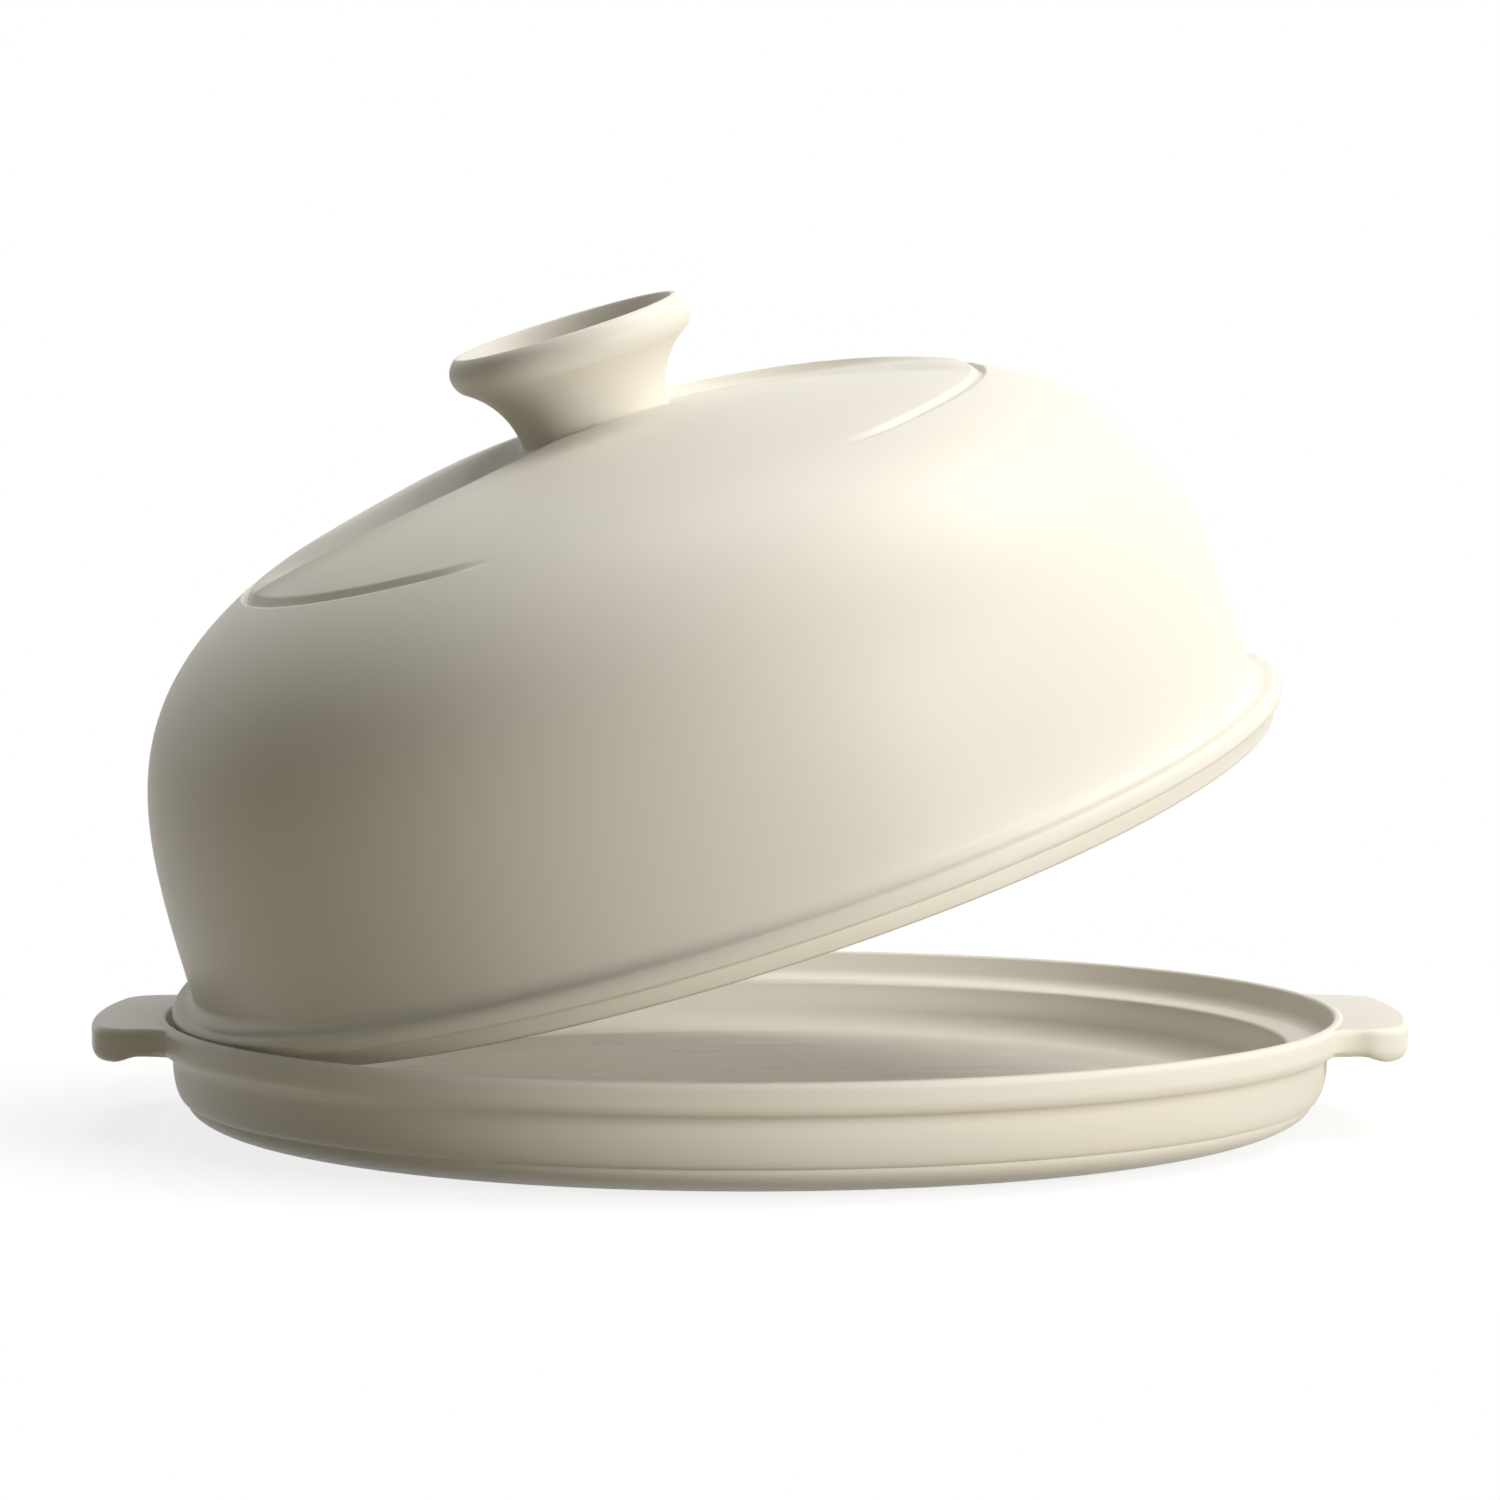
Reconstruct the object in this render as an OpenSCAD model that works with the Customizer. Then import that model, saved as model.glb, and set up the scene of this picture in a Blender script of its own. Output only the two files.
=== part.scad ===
// Round stoneware bread cloche: a shallow dish with two tab handles, and a tall
// domed lid that stands on a ledge inside the dish's rim. The lid is drawn
// tipped up on one edge, as it is for a look inside.
// Millimetres, Z up, the origin at the middle of the dish on the table.
// X runs through the two handles.

/* [Dish] */
// Inner diameter across the top of the rim
rim_bore_d = 290; // [270:1:310]
// Thickness of the rim
rim_w = 3; // [2.5:0.25:5]
// Height of the rim above the table
dish_h = 28; // [26:1:40]
// Height of the thick band round the outside of the rim
band_h = 8; // [6:0.5:10]
// How far the band stands out from the bowl under it
band_step = 4.4; // [3:0.2:6]
// Depth of the lid's ledge below the rim
ledge_drop = 7.3; // [5:0.1:8]
// Width of the flat ledge that the lid stands on
ledge_w = 7; // [5:0.5:9]
// Radius of the hollow between the ledge and the rim
ledge_cove = 3.5; // [2:0.5:4.5]
// Thickness of the floor
floor_t = 5.5; // [4:0.5:9]
// Radius of the hollow between the floor and the wall
floor_cove = 7; // [3:0.5:9]
// Outer diameter of the foot ring
foot_d = 236; // [200:1:250]
// Width of the foot ring
foot_w = 7; // [4:0.5:12]
// Height of the foot ring
foot_h = 2.5; // [1.5:0.25:4]
// Height of the rounded heel between the foot and the bowl
heel_h = 7.4; // [5:0.2:9]

/* [Floor ridges] */
// Diameter of the patch of ridges in the middle of the floor
ridge_patch_d = 200; // [120:5:230]
// Distance from one ridge to the next
ridge_pitch = 14; // [10:1:25]
// Width of a ridge at its foot
ridge_w = 5; // [3:0.5:8]
// Height of a ridge
ridge_h = 0.9; // [0.5:0.1:1.5]

/* [Handles] */
// How far a handle reaches beyond the rim
handle_reach = 15.5; // [12:0.5:24]
// Width of a handle along the rim
handle_w = 79; // [60:1:100]
// Thickness of a handle
handle_t = 8.5; // [6:0.5:10]
// How far a handle's top lies below the rim
handle_drop = 0.5; // [0.3:0.1:2]
// Radius of a handle's outer corners, seen from above
handle_corner = 11; // [8:0.5:16]
// Radius where a handle runs out of the rim, seen from above
handle_blend = 10; // [4:0.5:12]
// Radius of the rounded upper edge
handle_top_r = 1.8; // [1:0.1:3]
// Radius of the rounded lower edge
handle_low_r = 3; // [2:0.1:3.5]
// Depth of the finger hollow under a handle
grip_depth = 1.5; // [0.5:0.1:2.5]

/* [Lid] */
// Gap between the lid's flange and the rim, all round
rim_gap = 1.3; // [1:0.1:2.5]
// Gap between the closed lid's foot and the ledge
seat_gap = 0.2; // [0.15:0.05:0.5]
// How far the flange stands out from the dome's wall
flange_out = 6.4; // [4:0.1:8]
// Height of the lid's bare lip under the flange
lip_h = 4.7; // [3:0.1:6]
// How far that lip stands out from the dome's wall
lip_out = 2.7; // [1:0.1:4]
// Height of the flange's rounded edge
flange_h = 4.6; // [3:0.1:6]
// Radius of the hollow between the flange and the dome
flange_cove = 3; // [2:0.25:5]
// Height of the dome from its lip to its top
dome_h = 117.6; // [80:0.1:130]
// Thickness of the dome's wall
dome_t = 6.5; // [5:0.25:9]
// How square the dome's shoulder is
shoulder_power = 5.25; // [4:0.05:7]
// How far below the lip the dome's curve starts
curve_start = 22.4; // [10:0.1:40]

/* [Swirl] */
// Diameter of the crease round the swirl
swirl_d = 192; // [150:1:200]
// Turn of the swirl on the lid
swirl_turn = 10.5; // [0:0.5:180]
// Distance of each blade's edge from the middle line
blade_offset = 22.5; // [21.5:0.5:30]
// Height of the step along a blade's edge
blade_step = 2.3; // [1:0.1:3]
// Angle over which the hollow behind a blade runs out
blade_fade = 100; // [60:5:140]
// How far a blade's edge stands over the plain dome
crest_rise = 1.2; // [0.6:0.1:2]
// Width over which a blade rises to its edge
crest_w = 16; // [10:1:24]
// Depth of the crease at the two tips
crease_depth = 1.6; // [0.6:0.1:2]
// Width of the rounded side of the crease
crease_w = 5; // [3:0.5:8]
// Angle from a tip at which the crease has run out
crease_fade = 62; // [40:1:80]

/* [Knob] */
// Diameter across the knob's lip
knob_d = 61.4; // [55:0.2:70]
// Diameter of the knob's neck, where it stands in the dome
knob_neck_d = 37.2; // [30:0.2:40]
// Height of the knob
knob_h = 26.7; // [22:0.1:36]
// Thickness of the knob's wall
knob_t = 4.5; // [3.5:0.25:5.5]
// Thickness of the knob's closed bottom
knob_floor = 6; // [3:0.5:8]
// Radius of the swelling under the knob's lip
knob_bead = 5.4; // [4.5:0.1:6]
// Radius of the thin upper edge of the lip
knob_lip_r = 0.9; // [0.6:0.1:2]

/* [Pose] */
// How far the lid is tipped up
lid_tilt = 18; // [0:1:45]
// Direction in which the lid is lifted, from the right-hand handle
lift_turn = 19; // [0:1:359]

/* [Hidden] */
glaze = [0.93, 0.91, 0.85];
$fn = 180;

bore_r = rim_bore_d / 2;
rim_r = bore_r + rim_w;
bowl_r = rim_r - band_step;
foot_r = foot_d / 2;
heel_r = bowl_r - 3.4;
ledge_z = dish_h - ledge_drop;
ledge_out_r = bore_r - 1 - ledge_cove;
ledge_in_r = ledge_out_r - ledge_w;
floor_z = foot_h + floor_t;
wall_foot_r = ledge_in_r - 2.5;
rim_in_round = min(1.2, 0.35 * rim_w);
rim_out_round = min(2, 0.6 * rim_w);
ledge_round = 0.8;
band_round = 0.75 * band_step;
band_rise = band_round * sin(70);

handle_top = dish_h - handle_drop;
handle_low = handle_top - handle_t;
handle_tip = rim_r + handle_reach;
half_w = handle_w / 2;
blend_r = min(handle_blend, 0.62 * handle_reach);
blend_x = sqrt(pow(rim_r + blend_r, 2) - pow(half_w + blend_r, 2));
corner_fit = (pow(handle_tip, 2) - pow(half_w, 2) - pow(blend_x + 0.3, 2)) / (2 * (handle_tip - half_w));
corner_r = min(handle_corner, corner_fit);

flange_r = bore_r - rim_gap;
dome_r = flange_r - flange_out;
lip_r = dome_r + lip_out;
flange_top = lip_h + flange_h;
curve_h = dome_h + curve_start;
cove_r = min(flange_cove, flange_out - 2.3);
swirl_r = swirl_d / 2;
crown_r = swirl_r + 0.6;
crown_steps = 59;
crease_lip = 0.6;
lip_start = 55;

knob_r = knob_d / 2;
neck_r = knob_neck_d / 2;
socket_r = neck_r + seat_gap;
socket_z = dome_z(neck_r) - blade_step - 0.3;
bead_x = knob_r - knob_bead;
bead_z = socket_z + knob_h - knob_lip_r - (knob_bead - knob_lip_r) * sin(lip_start);
flare_rise = bead_z - socket_z;
flare_span = bead_x - neck_r;
flare_r = (pow(flare_span, 2) + pow(flare_rise, 2) - pow(knob_bead, 2)) / (2 * (knob_bead + flare_span));

hinge_r = lip_r - 1.65;
hinge_z = ledge_z + 7.25;

// Points along an arc, from angle a to angle b in n steps
function arc(x, y, r, a, b, n = 6) =
    [for (i = [0:n]) [x + r * cos(a + (b - a) * i / n), y + r * sin(a + (b - a) * i / n)]];

// Eases from 0 to 1
function ease(t) = let (u = min(1, max(0, t))) u * u * (3 - 2 * u);

// Height of the dome over its lip at radius r, for a surface t inside the outer one
function dome_z(r, t = 0) =
    (curve_h - t) * pow(1 - pow(r / (dome_r - t), 2), 1 / shoulder_power) - curve_start;

// Radius of the dome at height z, for a surface t inside the outer one
function dome_at(z, t = 0) =
    (dome_r - t) * sqrt(1 - pow((z + curve_start) / (curve_h - t), shoulder_power));

// Half section of the dish: floor, wall, ledge, rim, band, bowl, heel and foot ring
function dish_section() =
    let (band_low = dish_h - band_h, bowl_top = band_low - band_rise)
    concat(
        [[0, floor_z]],
        arc(wall_foot_r - floor_cove, floor_z + floor_cove, floor_cove, -90, -8),
        arc(ledge_in_r + ledge_round, ledge_z - ledge_round, ledge_round, 172, 90, 3),
        arc(ledge_out_r, ledge_z + ledge_cove, ledge_cove, -90, -12),
        arc(bore_r + rim_in_round, dish_h - rim_in_round, rim_in_round, 168, 90, 4),
        arc(rim_r - rim_out_round, dish_h - rim_out_round, rim_out_round, 90, 0, 5),
        arc(rim_r - band_round, band_low + band_rise, band_round, 0, -70, 6),
        arc(bowl_r + band_round, bowl_top, band_round, 110, 180, 6),
        [for (t = [80:-16:0])
            [heel_r + (bowl_r - heel_r) * sin(t), heel_h + (bowl_top - heel_h) * (1 - cos(t))]],
        [for (t = [80:-10:0]) [foot_r + (heel_r - foot_r) * sin(t), heel_h * (1 - cos(t))]],
        [[foot_r - foot_w, 0], [foot_r - foot_w - foot_h * 0.4, foot_h], [0, foot_h]]
    );

// Outline of a handle seen from above, drawn in by e, from one end inside the rim to the other.
// Its ends lie at radius start_r, so that they are buried in the rim.
function handle_outline(e, start_r) =
    let (
        blend_a = atan2(half_w + blend_r, blend_x),
        corner_y = half_w - corner_r,
        corner_x = sqrt(pow(handle_tip - corner_r, 2) - pow(corner_y, 2)),
        corner_a = atan2(corner_y, corner_x),
        blend = [for (i = [0:6]) let (
                    a = 180 + blend_a + (90 - blend_a) * i / 6,
                    r = blend_r + e + (rim_r - start_r - e) * pow(1 - i / 6, 1.5)
                ) [blend_x + r * cos(a), half_w + blend_r + r * sin(a)]],
        one_side = concat(blend, arc(corner_x, corner_y, corner_r - e, 90, corner_a, 7)),
        tip = [for (i = [3:-1:-3]) let (a = corner_a * i / 4) (handle_tip - e) * [cos(a), sin(a)]],
        last = len(one_side) - 1
    )
    concat(one_side, tip, [for (i = [last:-1:0]) [one_side[i][0], -one_side[i][1]]]);

// Levels of a handle's edge from the bottom up: how far it is drawn in, and its height
function handle_levels() = concat(
    [for (a = [0:30:90]) [handle_low_r * (1 - sin(a)), handle_low + handle_low_r * (1 - cos(a))]],
    [for (a = [90:-30:0]) [handle_top_r * (1 - sin(a)), handle_top - handle_top_r * (1 - cos(a))]]
);

// How far a handle's underside is hollowed at radius r: nothing at the tip and at the bowl
function grip_rise(r) = grip_depth * ease((handle_tip - r - 4) / 6) * ease((r - bowl_r + 0.5) / 3);

// The place at radius r and height z that lies in the same direction as p
function inside(p, r, z) = let (a = atan2(p[1], p[0])) [r * cos(a), r * sin(a), z];

// A handle's sections, one for each point of its outline: the buried inner side, the finger
// hollow under it, and the rounded edge. A section's first point sees all the others.
function handle_sections() =
    let (
        in_rim = bore_r + 0.3 * rim_w,
        end_top = bore_r + 0.55 * rim_w,
        in_bowl = bowl_r - 3,
        end_low = bowl_r - 1,
        band_low = dish_h - band_h,
        root_z = min(handle_low, ledge_z - 2),
        turn_z = max(ledge_z - 0.7, band_low + 2.5),
        levels = handle_levels(),
        low_count = len(levels) / 2,
        edges = [for (j = [0:len(levels) - 1]) let (
                    z = levels[j][1],
                    start_r = z < band_low + 0.3 ? end_low + 2 * (z - handle_low) : end_top
                ) [for (p = handle_outline(levels[j][0], start_r))
                    [p[0], p[1], z + (j < low_count ? grip_rise(norm(p)) : 0)]]]
    )
    [for (k = [0:len(edges[0]) - 1])
        let (
            foot = edges[0][k],
            root = inside(foot, in_bowl, root_z),
            top = edges[len(edges) - 1][k]
        )
        concat(
            [inside(top, in_rim, turn_z), root],
            [for (f = [0.15:0.1:0.85])
                let (x = root[0] + (foot[0] - root[0]) * f, y = root[1] + (foot[1] - root[1]) * f)
                    [x, y, handle_low + grip_rise(norm([x, y]))]],
            [for (edge = edges) edge[k]],
            [inside(top, in_rim, handle_top)]
        )];

// Closed skin through rings of points that all have the same count
module skin(rings) {
    n = len(rings[0]);
    m = len(rings);
    polyhedron(
        points = [for (ring = rings) for (p = ring) p],
        faces = concat(
            [[for (i = [0:n - 1]) i]],
            [for (j = [0:m - 2]) for (i = [0:n - 1]) let (a = j * n + i, b = j * n + (i + 1) % n)
                each [[a, b + n, b], [a, a + n, b + n]]],
            [[for (i = [n:-1:1]) (m - 1) * n + i % n]]
        )
    );
}

module floor_ridges() {
    count = floor(ridge_patch_d / 2 / ridge_pitch);
    rod_r = (pow(ridge_w / 2, 2) + pow(ridge_h, 2)) / (2 * ridge_h);
    for (i = [-count:count]) {
        reach = sqrt(max(1, pow(ridge_patch_d / 2, 2) - pow(i * ridge_pitch, 2)));
        translate([0, i * ridge_pitch, floor_z + ridge_h - rod_r])
            rotate([0, 90, 0])
                intersection() {
                    cylinder(r = rod_r, h = 2 * reach, center = true, $fn = 60);
                    translate([-rod_r, 0, 0])
                        cube([2 * ridge_h + 1, ridge_w + 1, 2 * reach + 1], center = true);
                }
    }
}

module base_dish() {
    color(glaze) {
        rotate_extrude() polygon(dish_section());
        for (side = [0, 180]) rotate([0, 0, side]) skin(handle_sections());
        floor_ridges();
    }
}

// Places what is drawn as a closed lid, with its lip at height 0, in the tipped-up pose
module tipped() {
    rotate([0, 0, lift_turn])
        translate([-hinge_r, 0, hinge_z])
            rotate([0, -lid_tilt, 0])
                translate([hinge_r, 0, ledge_z + seat_gap - hinge_z])
                    rotate([0, 0, -lift_turn])
                        children();
}

// Half section of the dome's shell. Inside the swirl's edge it is sunk to most of its
// thickness, which the crown fills again.
function lid_section() =
    let (
        cove_z = flange_top + cove_r,
        lay_z = dome_z(crown_r),
        in_top = dome_z(0, dome_t)
    )
    concat(
        arc(dome_r - dome_t + 1.2, 1.2, 1.2, 180, 270, 3),
        arc(lip_r - 1, 1, 1, -90, 0, 3),
        [[lip_r, lip_h - 0.6], [lip_r + 0.6, lip_h]],
        arc(flange_r - 1.5, lip_h + 1.5, 1.5, -90, 0, 3),
        arc(flange_r - 2, flange_top - 2, 2, 0, 90, 4),
        arc(dome_at(cove_z) + cove_r, cove_z, cove_r, 270, 186, 4),
        [for (i = [1:18]) let (z = cove_z + (lay_z - cove_z) * sin(90 * i / 18)) [dome_at(z), z]],
        [for (i = [4:-1:0]) [crown_r * i / 4, dome_z(crown_r * i / 4, dome_t * 0.6)]],
        [[0, in_top]],
        [for (i = [1:20]) let (z = in_top - (in_top - 4) * (1 - cos(90 * i / 20))) [dome_at(z, dome_t), z]]
    );

// Distance of a blade's edge from the middle line at radius r: it leaves the knob's neck smoothly
function blade_side(r) = neck_r + (blade_offset - neck_r) * ease((r - neck_r) / (0.8 * neck_r));

// Angle of a blade's edge at radius r: a line beside the middle, drawn in to a tip at the crease
function blade_angle(r) =
    180 + asin(min(1, blade_side(r) / r)) * (1 - ease((r - 0.74 * swirl_r) / (0.24 * swirl_r)));

// Width of the step along a blade's edge, as an angle: crisp at first and soft at the tip
function step_angle(r) = (1.2 + 5 * ease((r - 0.7 * swirl_r) / (0.28 * swirl_r))) / r * 180 / PI;

// How far the swirl lies under the plain dome, behind a blade's edge
function blade_drop(r, behind) =
    let (fade = 1 - ease((behind - step_angle(r)) / blade_fade))
    blade_step * (1 - 0.35 * ease((r - 0.6 * swirl_r) / (0.38 * swirl_r)))
        * min(1, behind / step_angle(r)) * fade;

// How far a blade stands over the plain dome at an angle ahead of its edge: it dips a little,
// and then rises to a crest at the edge
function blade_crest(r, ahead) =
    let (d = ahead / 180 * PI * r, dip = 0.7 * crest_rise)
    (crest_rise - (crest_rise + dip) * ease(d / crest_w) + dip * ease((d - crest_w) / (2 * crest_w)))
        * ease((r - neck_r) / (0.8 * neck_r)) * (1 - crease_side(r));

// Height of the swirl over the plain dome, at an angle behind a blade's edge
function swirl_rise(r, behind) =
    let (back = behind / step_angle(r))
    (back < 1 ? blade_crest(r, 0) * (1 - back) : blade_crest(r, 180 - behind)) - blade_drop(r, behind);

// Shape of the crease's rounded inner side at radius r, from 0 at its top to 1 in the crease
function crease_side(r) =
    let (up = min(1, max(0, swirl_r - r - crease_lip) / crease_w)) 1 - sqrt(1 - pow(1 - up, 2));

// Depth of the crease, sharp outside and rounded inside, at its full depth at the two tips
function crease_drop(r, angle) =
    let (
        from_tip = abs((angle + 90) % 180 - 90),
        outer = min(1, max(0, (swirl_r - r) / crease_lip))
    )
    crease_depth * min(outer, crease_side(r)) * (1 - ease(from_tip / crease_fade));

// Places along a half turn behind a blade's edge, from far behind it up to the edge itself.
// They lie closer together where they come near the other blade's edge.
function places(r) =
    let (first = step_angle(r))
    concat(
        [for (i = [crown_steps:-1:0]) 180 - (180 - first) * pow(1 - i / (crown_steps + 1), 1.4)],
        [0]
    );

// A ring of the crown's outer face at radius r, sunk by an extra amount
function crown_ring(r, extra = 0) =
    [for (half = [0, 180]) for (behind = places(r)) let (angle = blade_angle(r) - behind + half)
        [r * cos(angle), r * sin(angle), dome_z(r) + swirl_rise(r, behind) - crease_drop(r, angle) - extra]];

// A plain ring at radius r and height z, with as many points
function plain_ring(r, z) =
    [for (half = [0, 180]) for (behind = places(crown_r)) let (angle = 180 - behind + half)
        [r * cos(angle), r * sin(angle), z]];

// The top of the dome with its two curved blades, and the round socket for the knob
module crown() {
    inner_r = swirl_r - crease_w - crease_lip;
    under = [for (r = [4, 30, 55, 78, crown_r + 1]) plain_ring(r, dome_z(r, dome_t * 0.75))];
    edge = [crown_ring(crown_r + 1, 0.6), crown_ring(crown_r + 0.3, 0.02)];
    crease = [for (d = [0, crease_lip, 1.2, 2, 3.2, 4.6, crease_w + crease_lip]) crown_ring(swirl_r - d)];
    blades = [for (i = [1:18]) crown_ring(socket_r + (inner_r - socket_r) * pow(1 - i / 18, 1.35))];
    socket = [[for (p = crown_ring(socket_r)) [p[0], p[1], socket_z]]];
    skin(concat(under, edge, crease, blades, socket));
}

module lid_dome() {
    color(glaze) tipped() {
        rotate_extrude() polygon(lid_section());
        rotate([0, 0, swirl_turn]) crown();
    }
}

// Half section of the knob: a hollow trumpet with a closed bottom, a swelling under its lip
// and a thin upper edge
function knob_section() =
    let (
        flare_x = neck_r + flare_r,
        flare_end = atan2(bead_z - socket_z, bead_x - flare_x),
        lip_x = bead_x + (knob_bead - knob_lip_r) * cos(lip_start),
        lip_z = socket_z + knob_h - knob_lip_r,
        inner_r = flare_r + knob_t,
        mouth = acos((lip_x - 4 - flare_x) / inner_r),
        foot = 180 - asin((knob_floor + 2) / inner_r)
    )
    concat(
        [[0, socket_z]],
        arc(flare_x, socket_z, flare_r, 180, flare_end, 9),
        arc(bead_x, bead_z, knob_bead, flare_end - 180, lip_start, 6),
        arc(lip_x, lip_z, knob_lip_r, lip_start, 150, 5),
        arc(flare_x, socket_z, inner_r, mouth, foot, 8),
        arc(flare_x + inner_r * cos(foot) - 2, socket_z + knob_floor + 2, 2, -10, -90, 3),
        [[0, socket_z + knob_floor]]
    );

module lid_knob() {
    color(glaze) tipped() rotate_extrude() polygon(knob_section());
}

base_dish();
lid_dome();
lid_knob();
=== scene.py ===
import math

import bpy
import numpy as np
from mathutils import Matrix, Vector


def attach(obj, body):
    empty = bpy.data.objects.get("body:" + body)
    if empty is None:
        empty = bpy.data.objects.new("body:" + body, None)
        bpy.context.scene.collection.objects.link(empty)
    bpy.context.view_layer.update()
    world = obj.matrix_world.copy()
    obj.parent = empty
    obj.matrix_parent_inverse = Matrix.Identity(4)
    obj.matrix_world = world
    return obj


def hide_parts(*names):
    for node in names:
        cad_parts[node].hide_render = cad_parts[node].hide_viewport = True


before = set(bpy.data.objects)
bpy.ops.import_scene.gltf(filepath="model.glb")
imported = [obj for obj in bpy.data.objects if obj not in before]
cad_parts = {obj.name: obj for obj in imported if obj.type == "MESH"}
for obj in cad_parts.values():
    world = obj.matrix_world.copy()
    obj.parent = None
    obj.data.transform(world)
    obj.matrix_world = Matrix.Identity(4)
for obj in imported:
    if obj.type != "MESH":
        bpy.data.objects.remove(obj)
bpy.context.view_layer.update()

# forms are worked out in mm, and come to metres as they become meshes
mm = 0.001
poleRadius = 1.0  # the first and last ring of a turned form, round the axis
print("frame loaded:", sorted(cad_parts))


def ease(t):
    u = np.clip(t, 0, 1)
    return u * u * (3 - 2 * u)


def arc(x, y, r, start, end, steps):
    turn = np.radians(np.linspace(start, end, steps + 1))
    return [(x + r * math.cos(a), y + r * math.sin(a)) for a in turn]


def bulge(x0, x1, z0, z1, start, end, count):
    # part of a quarter ellipse that leaves (x0, z0) level and reaches (x1, z1) upright
    return [(x0 + (x1 - x0) * math.sin(t), z0 + (z1 - z0) * (1 - math.cos(t)))
            for t in np.radians(np.linspace(start, end, count))]


def densify(line, longest):
    # splits every stretch of a half section that is longer than asked
    out = [line[0]]
    for (x0, y0), (x1, y1) in zip(line, line[1:]):
        cuts = max(1, math.ceil(math.hypot(x1 - x0, y1 - y0) / longest))
        out += [(x0 + (x1 - x0) * k / cuts, y0 + (y1 - y0) * k / cuts)
                for k in range(1, cuts + 1)]
    return out


def makeMesh(name, points, faces):
    mesh = bpy.data.meshes.new(name)
    mesh.from_pydata([tuple(p) for p in points * mm], [], faces)
    mesh.validate()
    mesh.shade_smooth()
    piece = bpy.data.objects.new(name, mesh)
    bpy.context.scene.collection.objects.link(piece)
    return piece


def ringMesh(name, rings, values=None):
    # rings: rows x columns x 3, closed round the columns, with a pole at each end
    rows, columns, _ = rings.shape
    poles = [rings[0].mean(0), rings[-1].mean(0)]
    points = np.concatenate([rings.reshape(-1, 3), poles])
    here = np.arange(rows * columns).reshape(rows, columns)
    beside = np.roll(here, -1, axis=1)
    faces = np.stack([here[:-1], beside[:-1], beside[1:], here[1:]], axis=-1)
    faces = faces.reshape(-1, 4).tolist()
    first, last = rows * columns, rows * columns + 1
    faces += [(first, b, a) for a, b in zip(here[0], beside[0])]
    faces += [(last, a, b) for a, b in zip(here[-1], beside[-1])]
    piece = makeMesh(name, points, [tuple(int(i) for i in f) for f in faces])
    for label, rowValues in (values or {}).items():
        layer = piece.data.attributes.new(label, "FLOAT", "POINT")
        spread = np.concatenate([np.repeat(rowValues, columns), [rowValues[0], rowValues[-1]]])
        layer.data.foreach_set("value", spread.astype(np.float32))
    return piece


def tubeMesh(name, rings):
    # like ringMesh, but closed by one flat face at each end
    rows, columns, _ = rings.shape
    here = np.arange(rows * columns).reshape(rows, columns)
    beside = np.roll(here, -1, axis=1)
    faces = np.stack([here[:-1], here[1:], beside[1:], beside[:-1]], axis=-1)
    faces = faces.reshape(-1, 4).tolist()
    faces += [[int(i) for i in here[0]], [int(i) for i in here[-1][::-1]]]
    return makeMesh(name, rings.reshape(-1, 3), [tuple(f) for f in faces])


def turned(section, columns):
    # a half section, turned about the upright axis
    angles = np.linspace(0, 2 * math.pi, columns, endpoint=False)
    radius, height = np.array(section).T[..., None]
    return np.stack([radius * np.cos(angles), radius * np.sin(angles), height + 0 * angles],
                    axis=-1)


# sizes are in mm, and a lean, a turn or sharpFrom in degrees
dishForm = {
    "height": 28.0, "boreRadius": 145.0, "boreDraft": 1.0, "boreLean": 12, "boreRound": 1.05,
    "rimWidth": 3.0, "rimRound": 1.9,
    "bandHeight": 8.0, "bandStep": 4.4, "bandBend": 3.3, "bandTurn": 70,
    "ledgeDrop": 7.3, "ledgeWidth": 7.0, "ledgeCove": 3.5, "ledgeRound": 1.1,
    "wallSlant": 2.5, "wallLean": 8, "floor": 5.5, "floorCove": 7.0,
    "heelInset": 3.4, "heelHeight": 7.4,
    "footRadius": 118.0, "footWidth": 7.0, "footHeight": 2.5,
    "footOuterRound": 0.5, "footInnerRound": 0.8, "recessRound": 1.4, "recessSlant": 1.0,
    "bareHeight": 0.5, "bareFade": 0.7, "bareInside": 2.0, "bareOutside": 8.0,
    "ridgePatch": 100.0, "ridgePitch": 14.0, "ridgeWidth": 5.0, "ridgeHeight": 0.9,
    "ridgeEnd": 5.0, "ridgePast": 0.75, "ridgeSwell": 0.9,
    "fineFloor": 104.0, "fineStep": 1.0, "step": 2.2, "columns": 720, "sharpFrom": 38,
}


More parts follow.
